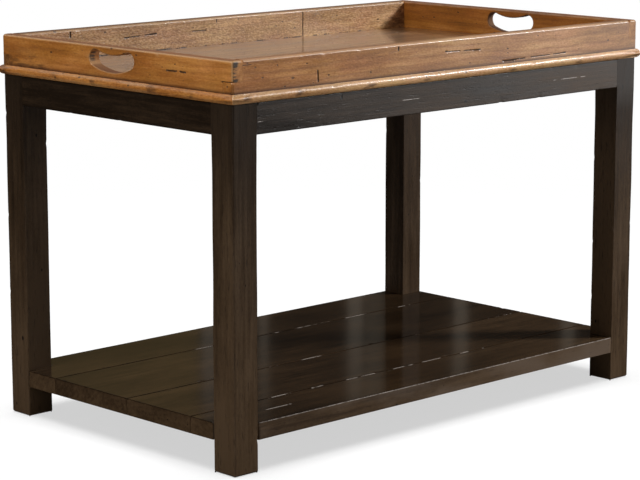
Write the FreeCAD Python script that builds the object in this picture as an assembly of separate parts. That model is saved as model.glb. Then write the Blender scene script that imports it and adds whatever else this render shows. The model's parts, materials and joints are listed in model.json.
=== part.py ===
import FreeCAD, Part
import math
import os

# Tray table: a lift-off wooden tray on a dark four-legged base with a low plank shelf.
# Millimetres. X runs along the long side, the front is -Y, and the floor is at Z = 0.

# Base, over the legs' outer faces
base_length = 902.0
base_width = 538.0
base_height = 547.0

# Legs
leg_side = 47.0
leg_corner_radius = 3.0
leg_edge_radius = 1.5
leg_foot_chamfer = 2.5

# Aprons, with a stub tenon at each end
apron_height = 47.0
apron_thickness = 20.0
apron_edge_radius = 1.5
apron_tenon_thickness = 10.0
apron_tenon_length = 15.0
apron_tenon_shoulder = 6.0
mortise_clearance = 0.2

# Shelf planks, front to back, notched round the legs and tenoned into them
shelf_height = 75.0
shelf_thickness = 26.0
plank_names = ("shelf_plank_front", "shelf_plank_mid_front", "shelf_plank_mid_back", "shelf_plank_back")
plank_width_shares = (0.183, 0.273, 0.328, 0.216)
plank_gap = 0.8
plank_edge_radius = 1.5
plank_notch_clearance = 0.4
shelf_tenon_thickness = 12.0
shelf_tenon_width = 25.0
shelf_tenon_length = 12.0

# Battens that tie the planks from below
batten_names = ("shelf_batten_left", "shelf_batten_middle", "shelf_batten_right")
batten_place_shares = (-0.33, 0.0, 0.33)
batten_width = 50.0
batten_height = 16.0
batten_lap = 25.0
batten_chamfer = 3.0

# Corner blocks between the aprons, below the tray's cleats
block_height = 26.0
block_reach = 45.0
block_end = 10.0
block_cleat_gap = 4.0

# Tray walls, half-lapped at the corners
tray_overhang = 1.0
wall_height = 63.0
wall_thickness = 20.0
rim_radius = 4.0
lap_height_share = 0.5

# Hand holes: bowed slots with round ends
hole_width = 25.0
hole_span = 78.0
hole_bow_radius = 112.0
hole_rim_margin = 7.0
hole_edge_radius = 3.5
right_hole_shift = -6.0

# Half-round bead round the tray's foot
bead_height = 14.5
bead_depth = 5.0

# Tray floor, tongued into the walls
floor_thickness = 16.0
floor_tongue_thickness = 8.0
floor_tongue_lift = 6.0
floor_groove_depth = 6.5
floor_clearance = 0.5
groove_clearance = 0.2

# Cleats under the tray that drop inside the base
cleat_width = 40.0
cleat_height = 15.0
cleat_clearance = 1.5
cleat_chamfer = 3.0
cleat_screw_shares = (-0.36, 0.0, 0.36)

# Slotted countersunk screws
screw_diameter = 4.0
screw_head_diameter = 8.0
screw_head_height = 2.2
screw_tip = 5.0
screw_slot_width = 1.0
screw_slot_depth = 1.0
screw_clearance = 0.1
shelf_screw_length = 34.0
cleat_screw_length = 26.0
block_screw_length = 22.0
block_screw_seat = 10.0
block_screw_share = 0.5

# How far a cutting shape runs past what it cuts
overrun = 2.0
# Places closer than this share of the overrun count as the same
sliver_share = 0.001
# Rounding takes at most this share of the wall or land that it is on
round_wall_share = 0.45
round_land_share = 0.8

# Places worked out from the sizes above
half_length = base_length / 2
half_width = base_width / 2
leg_inner_x = half_length - leg_side
leg_inner_y = half_width - leg_side
apron_bottom = base_height - apron_height
shelf_bottom = shelf_height - shelf_thickness
tray_half_length = half_length + tray_overhang
tray_half_width = half_width + tray_overhang
tray_inner_x = tray_half_length - wall_thickness
tray_inner_y = tray_half_width - wall_thickness
table_height = base_height + wall_height
floor_top = base_height + floor_thickness

X_AXIS = FreeCAD.Vector(1, 0, 0)
Y_AXIS = FreeCAD.Vector(0, 1, 0)
Z_AXIS = FreeCAD.Vector(0, 0, 1)
ORIGIN = FreeCAD.Vector(0, 0, 0)


def box(x0, x1, y0, y1, z0, z1):
    """A block between two corners."""
    return Part.makeBox(x1 - x0, y1 - y0, z1 - z0, FreeCAD.Vector(x0, y0, z0))


def mirror_x(shape):
    return shape.mirror(ORIGIN, X_AXIS)


def mirror_y(shape):
    return shape.mirror(ORIGIN, Y_AXIS)


def joined(shapes):
    """Fuses touching shapes into one clean solid."""
    return shapes[0].fuse(shapes[1:]).removeSplitter()


def runs_along(edge, axis):
    """True for a straight edge that is parallel to an axis."""
    if not isinstance(edge.Curve, Part.Line):
        return False
    return abs(edge.tangentAt(edge.FirstParameter).dot(axis)) > math.cos(math.radians(1))


def same(a, b):
    """True for two places that are the same within a sliver of the overrun."""
    return math.isclose(a, b, abs_tol=overrun * sliver_share)


def level(edge, height):
    """True for an edge that lies flat at a height."""
    return same(edge.BoundBox.ZMin, height) and same(edge.BoundBox.ZMax, height)


def rounded(shape, radius, chosen):
    """Rounds the edges for which chosen(edge) is true."""
    return shape.makeFillet(radius, [edge for edge in shape.Edges if chosen(edge)])


def bevelled(shape, size, chosen):
    """Chamfers the edges for which chosen(edge) is true."""
    return shape.makeChamfer(size, [edge for edge in shape.Edges if chosen(edge)])


def prism(points, z0, z1):
    """An upright block on a flat outline of (x, y) points."""
    corners = [FreeCAD.Vector(x, y, z0) for x, y in points]
    face = Part.Face(Part.makePolygon(corners + corners[:1]))
    return face.extrude(Z_AXIS * (z1 - z0))


def screw_body(length, gap):
    """A countersunk screw along +Z with its head's face at Z = 0, grown sideways and at its tip by gap."""
    head = screw_head_diameter / 2 + gap
    shank = screw_diameter / 2 + gap
    outline = [(0, 0), (head, 0), (shank, screw_head_height), (shank, length - screw_tip), (0, length + gap)]
    corners = [FreeCAD.Vector(r, 0, z) for r, z in outline]
    face = Part.Face(Part.makePolygon(corners + corners[:1]))
    return face.revolve(ORIGIN, Z_AXIS, 360)


def aimed(shape, place, direction):
    """Turns a shape made along +Z to a direction and moves it to a place."""
    turned = shape.copy()
    turned.Placement = FreeCAD.Placement(place, FreeCAD.Rotation(Z_AXIS, direction))
    return turned


def screw(length, place, direction):
    """A slotted screw with its head's face at a place, driven in a direction."""
    half_head = screw_head_diameter / 2
    half_slot = screw_slot_width / 2
    slot = box(-half_head, half_head, -half_slot, half_slot, -overrun, screw_slot_depth)
    return aimed(screw_body(length, 0).cut(slot), place, direction)


def screw_hole(length, place, direction, reach):
    """The hole for that screw; reach is how far the head's recess runs back from the seat."""
    recess = Part.makeCylinder(screw_head_diameter / 2 + screw_clearance, reach, ORIGIN, -Z_AXIS)
    return aimed(joined([screw_body(length, screw_clearance), recess]), place, direction)


def save(name, solids):
    """Writes one sub-part, of one or more separate solids."""
    shape = solids[0] if len(solids) == 1 else Part.makeCompound(solids)
    shape.exportStep("parts/" + name + ".step")


def tenon_levels():
    """Lower and upper level of the aprons' tenons."""
    return apron_bottom + apron_tenon_shoulder, base_height - apron_tenon_shoulder


def apron_tenon(gap):
    """The front apron's left tenon, grown by gap for its mortise."""
    low, high = tenon_levels()
    middle = -half_width + apron_thickness / 2
    reach = apron_tenon_thickness / 2 + gap
    return box(-leg_inner_x - apron_tenon_length - gap, -leg_inner_x + gap,
               middle - reach, middle + reach, low - gap, high + gap)


def side_tenon(gap):
    """The left apron's front tenon, grown by gap for its mortise."""
    low, high = tenon_levels()
    middle = -half_length + apron_thickness / 2
    reach = apron_tenon_thickness / 2 + gap
    return box(middle - reach, middle + reach,
               -leg_inner_y - apron_tenon_length - gap, -leg_inner_y + gap, low - gap, high + gap)


def shelf_tenon(gap):
    """The front plank's left tenon, grown by gap for its mortise."""
    middle_y = -half_width + leg_side / 2
    middle_z = shelf_bottom + shelf_thickness / 2
    reach_y = shelf_tenon_width / 2 + gap
    reach_z = shelf_tenon_thickness / 2 + gap
    return box(-leg_inner_x - shelf_tenon_length - gap, -leg_inner_x + gap,
               middle_y - reach_y, middle_y + reach_y, middle_z - reach_z, middle_z + reach_z)


def leg():
    """The front left leg: a square post with eased edges and three mortises."""
    post = box(-half_length, -leg_inner_x, -half_width, -leg_inner_y, 0, base_height)

    def outer_corner(edge):
        place = edge.CenterOfMass
        return runs_along(edge, Z_AXIS) and same(place.x, -half_length) and same(place.y, -half_width)

    def other_corner(edge):
        place = edge.CenterOfMass
        return runs_along(edge, Z_AXIS) and (same(place.x, -leg_inner_x) or same(place.y, -leg_inner_y))

    post = rounded(post, leg_corner_radius, outer_corner)
    post = rounded(post, leg_edge_radius, other_corner)
    post = bevelled(post, leg_foot_chamfer, lambda edge: level(edge, 0))
    return post.cut([apron_tenon(mortise_clearance), side_tenon(mortise_clearance), shelf_tenon(mortise_clearance)])


def front_apron():
    """The front apron: a rail between the front legs, flush with their faces."""
    rail = box(-leg_inner_x, leg_inner_x, -half_width, -half_width + apron_thickness, apron_bottom, base_height)
    rail = rounded(rail, apron_edge_radius, lambda edge: runs_along(edge, X_AXIS))
    return joined([rail, apron_tenon(0), mirror_x(apron_tenon(0))])


def left_apron():
    """The left apron: a rail between the left legs, flush with their faces."""
    rail = box(-half_length, -half_length + apron_thickness, -leg_inner_y, leg_inner_y, apron_bottom, base_height)
    rail = rounded(rail, apron_edge_radius, lambda edge: runs_along(edge, Y_AXIS))
    return joined([rail, side_tenon(0), mirror_y(side_tenon(0))])


def plank_spans():
    """Front and back edge of each shelf plank, with half a gap off at each joint."""
    spans = []
    front = -half_width
    for share in plank_width_shares:
        back = front + share * base_width
        spans.append((front, back))
        front = back
    half_gap = plank_gap / 2
    last = len(spans) - 1
    return [(front + (half_gap if i > 0 else 0), back - (half_gap if i < last else 0))
            for i, (front, back) in enumerate(spans)]


def plank(front, back):
    """A shelf plank between two edges, with a rounded rim on top and notches where it meets legs."""
    board = box(-half_length, half_length, front, back, shelf_bottom, shelf_height)
    board = rounded(board, plank_edge_radius, lambda edge: level(edge, shelf_height))
    notch_y = leg_inner_y - plank_notch_clearance
    if front < -notch_y:
        notch = box(-half_length - overrun, -leg_inner_x, -half_width - overrun, -notch_y,
                    shelf_bottom - overrun, shelf_height + overrun)
        board = board.cut([notch, mirror_x(notch)])
        board = joined([board, shelf_tenon(0), mirror_x(shelf_tenon(0))])
    if back > notch_y:
        board = mirror_y(plank(-back, -front))
    return board


def batten_ends():
    """Front and back end of the battens, a little past the outer plank joints."""
    spans = plank_spans()
    return spans[0][1] - batten_lap, spans[-1][0] + batten_lap


def batten(middle):
    """A batten across the planks' underside, chamfered below."""
    front, back = batten_ends()
    low = shelf_bottom - batten_height
    bar = box(middle - batten_width / 2, middle + batten_width / 2, front, back, low, shelf_bottom)
    return bevelled(bar, batten_chamfer, lambda edge: level(edge, low))


def shelf_screw_places():
    """One screw through each batten into each plank, in the middle of where they cross."""
    first, last = batten_ends()
    places = []
    for share in batten_place_shares:
        for front, back in plank_spans():
            middle = (max(front, first) + min(back, last)) / 2
            places.append(FreeCAD.Vector(share * base_length, middle, shelf_bottom - batten_height))
    return places


def build_shelf():
    places = shelf_screw_places()
    holes = [screw_hole(shelf_screw_length, place, Z_AXIS, overrun) for place in places]
    for name, (front, back) in zip(plank_names, plank_spans()):
        save(name, [plank(front, back).cut(holes)])
    for name, share in zip(batten_names, batten_place_shares):
        save(name, [batten(share * base_length).cut(holes)])
    save("shelf_screws", [screw(shelf_screw_length, place, Z_AXIS) for place in places])


def block_levels():
    """Lower and upper level of the corner blocks."""
    top = base_height - cleat_height - block_cleat_gap
    return top - block_height, top


def block_screw_places():
    """Head seats and directions of the front left block's two screws, into the front and the left apron."""
    low, high = block_levels()
    middle_z = (low + high) / 2
    along = block_reach * block_screw_share
    seat_y = -half_width + apron_thickness + block_screw_seat
    seat_x = -half_length + apron_thickness + block_screw_seat
    return [
        (FreeCAD.Vector(-leg_inner_x + along, seat_y, middle_z), -Y_AXIS),
        (FreeCAD.Vector(seat_x, -leg_inner_y + along, middle_z), -X_AXIS),
    ]


def block_screw_holes():
    return [screw_hole(block_screw_length, place, way, block_reach) for place, way in block_screw_places()]


def corner_block():
    """The front left corner block: it fills the corner of leg and aprons behind a slanting face."""
    low, high = block_levels()
    inner_x = -half_length + apron_thickness
    inner_y = -half_width + apron_thickness
    outline = [
        (-leg_inner_x, inner_y), (-leg_inner_x + block_reach, inner_y),
        (-leg_inner_x + block_reach, inner_y + block_end), (inner_x + block_end, -leg_inner_y + block_reach),
        (inner_x, -leg_inner_y + block_reach), (inner_x, -leg_inner_y), (-leg_inner_x, -leg_inner_y),
    ]
    return prism(outline, low, high).cut(block_screw_holes())


def build_base():
    holes = block_screw_holes()
    front_holes = [holes[0], mirror_x(holes[0])]
    left_holes = [holes[1], mirror_y(holes[1])]
    front = front_apron().cut(front_holes)
    left = left_apron().cut(left_holes)
    save("apron_front", [front])
    save("apron_back", [mirror_y(front)])
    save("apron_left", [left])
    save("apron_right", [mirror_x(left)])

    def in_corners(shape):
        right = mirror_x(shape)
        return {"front_left": shape, "front_right": right, "back_left": mirror_y(shape), "back_right": mirror_y(right)}

    for corner, shape in in_corners(leg()).items():
        save("leg_" + corner, [shape])
    for corner, shape in in_corners(corner_block()).items():
        save("corner_block_" + corner, [shape])
    screws = []
    for place, way in block_screw_places():
        screws.extend(in_corners(screw(block_screw_length, place, way)).values())
    save("corner_block_screws", screws)


def wall_ring():
    """All four tray walls as one ring with rounded rim and corners, which the boards are cut from."""
    ring = box(-tray_half_length, tray_half_length, -tray_half_width, tray_half_width, base_height, table_height)
    ring = rounded(ring, rim_radius, lambda edge: runs_along(edge, Z_AXIS))
    inside = box(-tray_inner_x, tray_inner_x, -tray_inner_y, tray_inner_y,
                 base_height - overrun, table_height + overrun)
    ring = ring.cut(inside)
    ring = rounded(ring, rim_radius, lambda edge: level(edge, table_height))
    groove_x = tray_inner_x + floor_groove_depth
    groove_y = tray_inner_y + floor_groove_depth
    low = base_height + floor_tongue_lift
    groove = box(-groove_x, groove_x, -groove_y, groove_y, low, low + floor_tongue_thickness + groove_clearance)
    return ring.cut(groove)


def lap_level():
    return base_height + wall_height * lap_height_share


def front_rail(ring):
    """The front rail: it runs to the tray's ends below the lap and stops at the end boards above it."""
    front = -tray_half_width
    below = box(-tray_half_length, tray_half_length, front, front + wall_thickness, base_height, lap_level())
    above = box(-tray_inner_x, tray_inner_x, front, front + wall_thickness, lap_level(), table_height)
    return ring.common(joined([below, above]))


def hand_hole(shift):
    """A bowed slot through the left end board: its round ends come closest to the rim."""
    half_angle = math.asin(hole_span / 2 / hole_bow_radius)
    end_z = table_height - hole_rim_margin - hole_width / 2
    middle_z = end_z + hole_bow_radius * math.cos(half_angle)
    x = -tray_half_length - overrun

    def on_bow(radius, angle):
        return FreeCAD.Vector(x, shift + radius * math.sin(angle), middle_z - radius * math.cos(angle))

    def round_end(side):
        along = FreeCAD.Vector(0, side * math.cos(half_angle), math.sin(half_angle))
        return on_bow(hole_bow_radius, side * half_angle) + along * (hole_width / 2)

    upper = hole_bow_radius - hole_width / 2
    lower = hole_bow_radius + hole_width / 2
    outline = Part.Wire([
        Part.Arc(on_bow(upper, -half_angle), on_bow(upper, 0), on_bow(upper, half_angle)).toShape(),
        Part.Arc(on_bow(upper, half_angle), round_end(1), on_bow(lower, half_angle)).toShape(),
        Part.Arc(on_bow(lower, half_angle), on_bow(lower, 0), on_bow(lower, -half_angle)).toShape(),
        Part.Arc(on_bow(lower, -half_angle), round_end(-1), on_bow(upper, -half_angle)).toShape(),
    ])
    return Part.Face(outline).extrude(X_AXIS * (wall_thickness + overrun * 2))


def left_end(ring, shift):
    """The left end board: it runs to the tray's front and back above the lap, with a hand hole."""
    left = -tray_half_length
    below = box(left, left + wall_thickness, -tray_inner_y, tray_inner_y, base_height, lap_level())
    above = box(left, left + wall_thickness, -tray_half_width, tray_half_width, lap_level(), table_height)
    hole = hand_hole(shift)
    board = ring.common(joined([below, above])).cut(hole)
    land = hole_rim_margin - rim_radius
    edge_radius = min(hole_edge_radius, wall_thickness * round_wall_share, land * round_land_share)

    def hole_edge(edge):
        bounds = edge.BoundBox
        flat = same(bounds.XMin, bounds.XMax)
        in_hole = bounds.YMin > hole.BoundBox.YMin - overrun and bounds.YMax < hole.BoundBox.YMax + overrun
        return flat and in_hole and not isinstance(edge.Curve, Part.Line)

    return rounded(board, edge_radius, hole_edge)


def bead(half_run, half_offset):
    """A half-round strip along the front of a wall, mitred at both ends."""
    run = half_run + bead_depth
    corners = [
        FreeCAD.Vector(-run, -half_offset, base_height),
        FreeCAD.Vector(-run, -half_offset - bead_depth, base_height + bead_height / 2),
        FreeCAD.Vector(-run, -half_offset, base_height + bead_height),
    ]
    outline = Part.Wire([Part.Arc(*corners).toShape(), Part.makeLine(corners[2], corners[0])])
    strip = Part.Face(outline).extrude(X_AXIS * (run * 2))
    past = bead_depth + overrun
    waste = prism([
        (-half_run + overrun, -half_offset + overrun), (-half_run - past, -half_offset - past),
        (-half_run - past, -half_offset + overrun),
    ], base_height - overrun, base_height + bead_height + overrun)
    return strip.cut([waste, mirror_x(waste)])


def floor_panel(holes):
    """The tray's floor, with a tongue all round that lies in the walls' groove."""
    half_x = tray_inner_x - floor_clearance
    half_y = tray_inner_y - floor_clearance
    panel = box(-half_x, half_x, -half_y, half_y, base_height, floor_top)
    tongue_x = tray_inner_x + floor_groove_depth - floor_clearance
    tongue_y = tray_inner_y + floor_groove_depth - floor_clearance
    low = base_height + floor_tongue_lift
    tongue = box(-tongue_x, tongue_x, -tongue_y, tongue_y, low, low + floor_tongue_thickness)
    return joined([panel, tongue]).cut(holes)


def cleat():
    """The left cleat: it drops between the left legs and the long aprons, chamfered to find its place."""
    left = -leg_inner_x + cleat_clearance
    reach = half_width - apron_thickness - cleat_clearance
    low = base_height - cleat_height
    bar = box(left, left + cleat_width, -reach, reach, low, base_height)
    return bevelled(bar, cleat_chamfer, lambda edge: level(edge, low))


def cleat_screw_places():
    """Screws up through both cleats into the floor panel."""
    middle = leg_inner_x - cleat_clearance - cleat_width / 2
    run = base_width - apron_thickness * 2
    low = base_height - cleat_height
    return [FreeCAD.Vector(side * middle, share * run, low) for side in (-1, 1) for share in cleat_screw_shares]


def build_tray():
    ring = wall_ring()
    rail = front_rail(ring)
    save("tray_rail_front", [rail])
    save("tray_rail_back", [mirror_y(rail)])
    save("tray_end_left", [left_end(ring, 0)])
    save("tray_end_right", [mirror_x(left_end(ring, right_hole_shift))])

    long_bead = bead(tray_half_length, tray_half_width)
    short_bead = bead(tray_half_width, tray_half_length)
    short_bead.rotate(ORIGIN, Z_AXIS, -90)
    save("bead_front", [long_bead])
    save("bead_back", [mirror_y(long_bead)])
    save("bead_left", [short_bead])
    save("bead_right", [mirror_x(short_bead)])

    places = cleat_screw_places()
    holes = [screw_hole(cleat_screw_length, place, Z_AXIS, overrun) for place in places]
    left_cleat = cleat()
    save("tray_floor", [floor_panel(holes)])
    save("tray_cleat_left", [left_cleat.cut(holes)])
    save("tray_cleat_right", [mirror_x(left_cleat).cut(holes)])
    save("tray_cleat_screws", [screw(cleat_screw_length, place, Z_AXIS) for place in places])


os.makedirs("parts", exist_ok=True)
build_base()
build_shelf()
build_tray()
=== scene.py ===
"""The looks of a tray table: a waxed tray with hand holes, on a dark stained base with a plank shelf."""
import json
import math
import random

import bmesh
import bpy
from mathutils import Euler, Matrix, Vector, noise

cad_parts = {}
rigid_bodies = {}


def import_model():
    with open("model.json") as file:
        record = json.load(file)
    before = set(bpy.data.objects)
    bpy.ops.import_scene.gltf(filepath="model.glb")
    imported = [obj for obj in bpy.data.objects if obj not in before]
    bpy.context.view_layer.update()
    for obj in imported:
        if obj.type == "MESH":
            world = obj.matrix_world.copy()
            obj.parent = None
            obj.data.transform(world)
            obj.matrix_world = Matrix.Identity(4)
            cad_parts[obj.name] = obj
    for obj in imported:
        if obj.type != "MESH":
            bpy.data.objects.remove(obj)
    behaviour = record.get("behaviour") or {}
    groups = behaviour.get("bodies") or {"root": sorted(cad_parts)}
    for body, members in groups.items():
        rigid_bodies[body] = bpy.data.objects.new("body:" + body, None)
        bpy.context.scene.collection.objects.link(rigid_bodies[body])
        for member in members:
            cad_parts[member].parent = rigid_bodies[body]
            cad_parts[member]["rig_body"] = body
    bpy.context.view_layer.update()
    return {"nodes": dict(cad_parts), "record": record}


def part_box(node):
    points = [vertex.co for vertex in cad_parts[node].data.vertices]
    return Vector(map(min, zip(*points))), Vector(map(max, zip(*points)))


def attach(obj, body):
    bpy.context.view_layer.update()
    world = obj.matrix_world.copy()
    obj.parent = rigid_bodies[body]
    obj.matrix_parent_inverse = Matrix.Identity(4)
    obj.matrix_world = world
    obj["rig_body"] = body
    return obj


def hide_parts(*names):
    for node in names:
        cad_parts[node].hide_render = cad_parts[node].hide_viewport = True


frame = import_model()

MM = 0.001
AXES = {"X": Vector((1, 0, 0)), "Y": Vector((0, 1, 0)), "Z": Vector((0, 0, 1))}
LEFTWARD, RIGHTWARD = -AXES["X"], AXES["X"]
FRONTWARD, UPWARD = -AXES["Y"], AXES["Z"]
WHITE = (1, 1, 1, 1)
# What is noted about wear at each point of a mesh
WEAR = ("worn", "arris", "pit")

# The camera, from the table's corners in the picture
EYE = Vector((-2.7100, -2.7935, 0.9836))
HEADING = math.radians(43.9156)
TILT = math.radians(10.5487)
FOCAL_PIXELS = 2411.2
PICTURE_WIDTH_PIXELS = 640
SENSOR_WIDTH = 36.0


# Shader nodes, written as sums

# The colour sockets of a Mix node
MIX_FIRST, MIX_SECOND, MIX_RESULT = 6, 7, 2


class Value:
    """An output of a node. A sum with it adds a Math node."""

    def __init__(self, tree, socket):
        self.tree = tree
        self.socket = socket

    def __add__(self, other):
        return reckon("ADD", self, other)

    def __sub__(self, other):
        return reckon("SUBTRACT", self, other)

    def __rsub__(self, other):
        return reckon("SUBTRACT", other, self)

    def __mul__(self, other):
        return reckon("MULTIPLY", self, other)

    def __truediv__(self, other):
        return reckon("DIVIDE", self, other)

    def __rtruediv__(self, other):
        return reckon("DIVIDE", other, self)

    def __abs__(self):
        return reckon("ABSOLUTE", self)

    def spread(self, from_low, from_high, to_low=0.0, to_high=1.0, smooth=True):
        """Maps a range of values to another one and clamps it."""
        kind = "SMOOTHSTEP" if smooth else "LINEAR"
        return add(self.tree, "MapRange", {"interpolation_type": kind}, Value=self, From_Min=from_low,
                   From_Max=from_high, To_Min=to_low, To_Max=to_high)["Result"]


def plug(socket, value):
    """Sets a socket to a constant, or links an output to it."""
    if isinstance(value, Value):
        value.tree.links.new(value.socket, socket)
    else:
        socket.default_value = value


def plug_all(node, row=(), **sockets):
    """Plugs values into a node's first sockets in a row, and into others by name; _ stands for a space."""
    for socket, value in zip(node.inputs, row):
        plug(socket, value)
    for name, value in sockets.items():
        plug(node.inputs[name.replace("_", " ")], value)


def add(tree, kind, settings=None, row=(), **sockets):
    """Adds a shader node and returns its outputs by name."""
    made = tree.nodes.new("ShaderNode" + kind)
    for name, value in (settings or {}).items():
        setattr(made, name, value)
    plug_all(made, row, **sockets)
    return {socket.name: Value(tree, socket) for socket in made.outputs}


def tree_of(*values):
    return next(value.tree for value in values if isinstance(value, Value))


def reckon(operation, *values, clamp=False):
    """One Math node; values are numbers or outputs."""
    return add(tree_of(*values), "Math", {"operation": operation, "use_clamp": clamp}, values)["Value"]


def blend(share, first, second, how="MIX"):
    """Mixes two colours."""
    tree = tree_of(share, first, second)
    made = tree.nodes.new("ShaderNodeMix")
    made.data_type = "RGBA"
    made.blend_type = how
    plug(made.inputs["Factor"], share)
    plug(made.inputs[MIX_FIRST], first)
    plug(made.inputs[MIX_SECOND], second)
    return Value(tree, made.outputs[MIX_RESULT])


def dot(vector, way):
    return add(vector.tree, "VectorMath", {"operation": "DOT_PRODUCT"}, (vector, way))["Value"]


def scaled(vector, x, y=1, z=1):
    return add(vector.tree, "VectorMath", {"operation": "MULTIPLY"}, (vector, (x, y, z)))["Vector"]


def cloud(vector, scale, detail, roughness):
    """Noise from 0 to 1."""
    return add(vector.tree, "TexNoise", Vector=vector, Scale=scale, Detail=detail, Roughness=roughness)["Fac"]


def weighed(middle, outputs, weights):
    """Adds up outputs that go from 0 to 1 by their weights, about a middle value."""
    total = middle - sum(weights.values()) / 2
    for name, weight in weights.items():
        total = reckon("MULTIPLY_ADD", outputs[name], weight, total)
    return total


def three_tones(lightness, palette):
    colour = blend(lightness.spread(0.0, 0.5, smooth=False), palette["dark"], palette["mid"])
    return blend(lightness.spread(0.5, 1.0, smooth=False), colour, palette["light"])


# Shared effects

# The spacing of a wave texture's rings at scale 1, and the range that most noise lies in
RING_PERIOD = 0.314
NOISE_LOW, NOISE_HIGH = 0.28, 0.72
GRAIN_ROUGHNESS = 0.55
# How far a line's two ends fade, and how soft its breaks are
LINE_FADE, BREAK_SOFT = 0.006, 0.05


def new_group(name, takes, gives):
    """A node group that takes values with these defaults: its tree, what comes in and what goes out."""
    tree = bpy.data.node_groups.new(name, "ShaderNodeTree")
    for label, value in takes.items():
        kind = "NodeSocketVector" if isinstance(value, tuple) else "NodeSocketFloat"
        socket = tree.interface.new_socket(label, in_out="INPUT", socket_type=kind)
        socket.default_value = value
    for label in gives:
        tree.interface.new_socket(label, in_out="OUTPUT", socket_type="NodeSocketFloat")
    come = {socket.name: Value(tree, socket) for socket in tree.nodes.new("NodeGroupInput").outputs}
    return tree, come, tree.nodes.new("NodeGroupOutput").inputs


def make_grain_group():
    """The figure of a sawn board whose grain runs along X. Each output lies between 0 and 1."""
    tree, come, go = new_group(
        "board_grain",
        {"Vector": (0, 0, 0), "Ring Width": 0.009, "Wander": 3.0},
        ["Rings", "Streak", "Blotch", "Fleck", "Fibre", "Tint", "Pores", "Latewood"],
    )
    place = come["Vector"]
    rings = add(tree, "TexWave", {"wave_type": "RINGS", "rings_direction": "X", "wave_profile": "SIN"},
                Vector=scaled(place, 0.22), Scale=RING_PERIOD / come["Ring Width"], Distortion=come["Wander"],
                Detail=3.0, Detail_Scale=0.7, Detail_Roughness=GRAIN_ROUGHNESS)["Fac"]
    plug(go["Rings"], rings)
    plug(go["Latewood"], rings.spread(0.30, 0.02))
    for name, stretch, scale, detail in (("Streak", 0.06, 120.0, 3.0), ("Blotch", 0.35, 16.0, 4.0),
                                         ("Fleck", 0.45, 420.0, 2.0), ("Fibre", 0.03, 640.0, 3.0),
                                         ("Tint", 0.30, 45.0, 2.0)):
        waves = cloud(scaled(place, stretch), scale, detail, GRAIN_ROUGHNESS)
        plug(go[name], waves.spread(NOISE_LOW, NOISE_HIGH, smooth=False))
    pores = cloud(scaled(place, 0.10), 420.0, 2.0, GRAIN_ROUGHNESS)
    plug(go["Pores"], pores.spread(0.60, 0.70))
    return tree


def make_speck_group():
    """Dark flecks thrown over a stain: specks of mixed size, a little longer with the grain."""
    takes = {"Vector": (0, 0, 0), "Spacing": 0.012, "Size": 0.07}
    tree, come, go = new_group("stain_specks", takes, ["Specks"])
    cells = add(tree, "TexVoronoi", {"feature": "F1"}, Vector=scaled(come["Vector"], 0.55),
                Scale=1.0 / come["Spacing"], Randomness=1.0)
    chance = add(tree, "SeparateColor", Color=cells["Color"])["Red"]
    edge = cells["Distance"] - reckon("POWER", chance, 4.0) * come["Size"]
    plug(go["Specks"], edge.spread(0.03, -0.01))
    return tree


def make_line_group():
    """A broken line along a stretch of an edge or joint, where stain is rubbed through or dirt gathers."""
    tree, come, go = new_group(
        "broken_line",
        {"Along": 0.0, "Across": 0.0, "Start": -1.0, "End": 1.0, "Place": 0.0, "Width": 0.001, "Cover": 0.5,
         "Seed": 0.0},
        ["Line"],
    )
    line = abs(come["Across"] - come["Place"]).spread(come["Width"], come["Width"] * 0.5)
    after = come["Along"].spread(come["Start"], come["Start"] + LINE_FADE)
    before = come["Along"].spread(come["End"], come["End"] - LINE_FADE)
    run = add(tree, "CombineXYZ", X=come["Along"], Y=come["Seed"])["Vector"]
    dashes, crumbs = cloud(run, 45.0, 1.0, 0.4), cloud(run, 300.0, 2.0, 0.6)
    limit = reckon("MULTIPLY_ADD", come["Cover"], -0.5, 1.05)
    mixed = reckon("MULTIPLY_ADD", crumbs, 0.6, dashes)
    broken = mixed.spread(limit - BREAK_SOFT, limit + BREAK_SOFT)
    plug(go["Line"], line * (after * before) * broken)
    return tree


GRAIN = make_grain_group()
SPECKS = make_speck_group()
LINE = make_line_group()

# Turns that lay a board's grain along X for its pattern
GRAIN_TURN = {"X": (0, 0, 0), "Y": (0, 0, -math.pi / 2), "Z": (0, math.pi / 2, 0)}
# The cosines between which a face comes to look along a way
FACING_START, FACING_END = 0.6, 0.95


def new_material(name):
    """A material with its tree and shader."""
    material = bpy.data.materials.new(name)
    material.use_nodes = True
    return material, material.node_tree, material.node_tree.nodes["Principled BSDF"]


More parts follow.
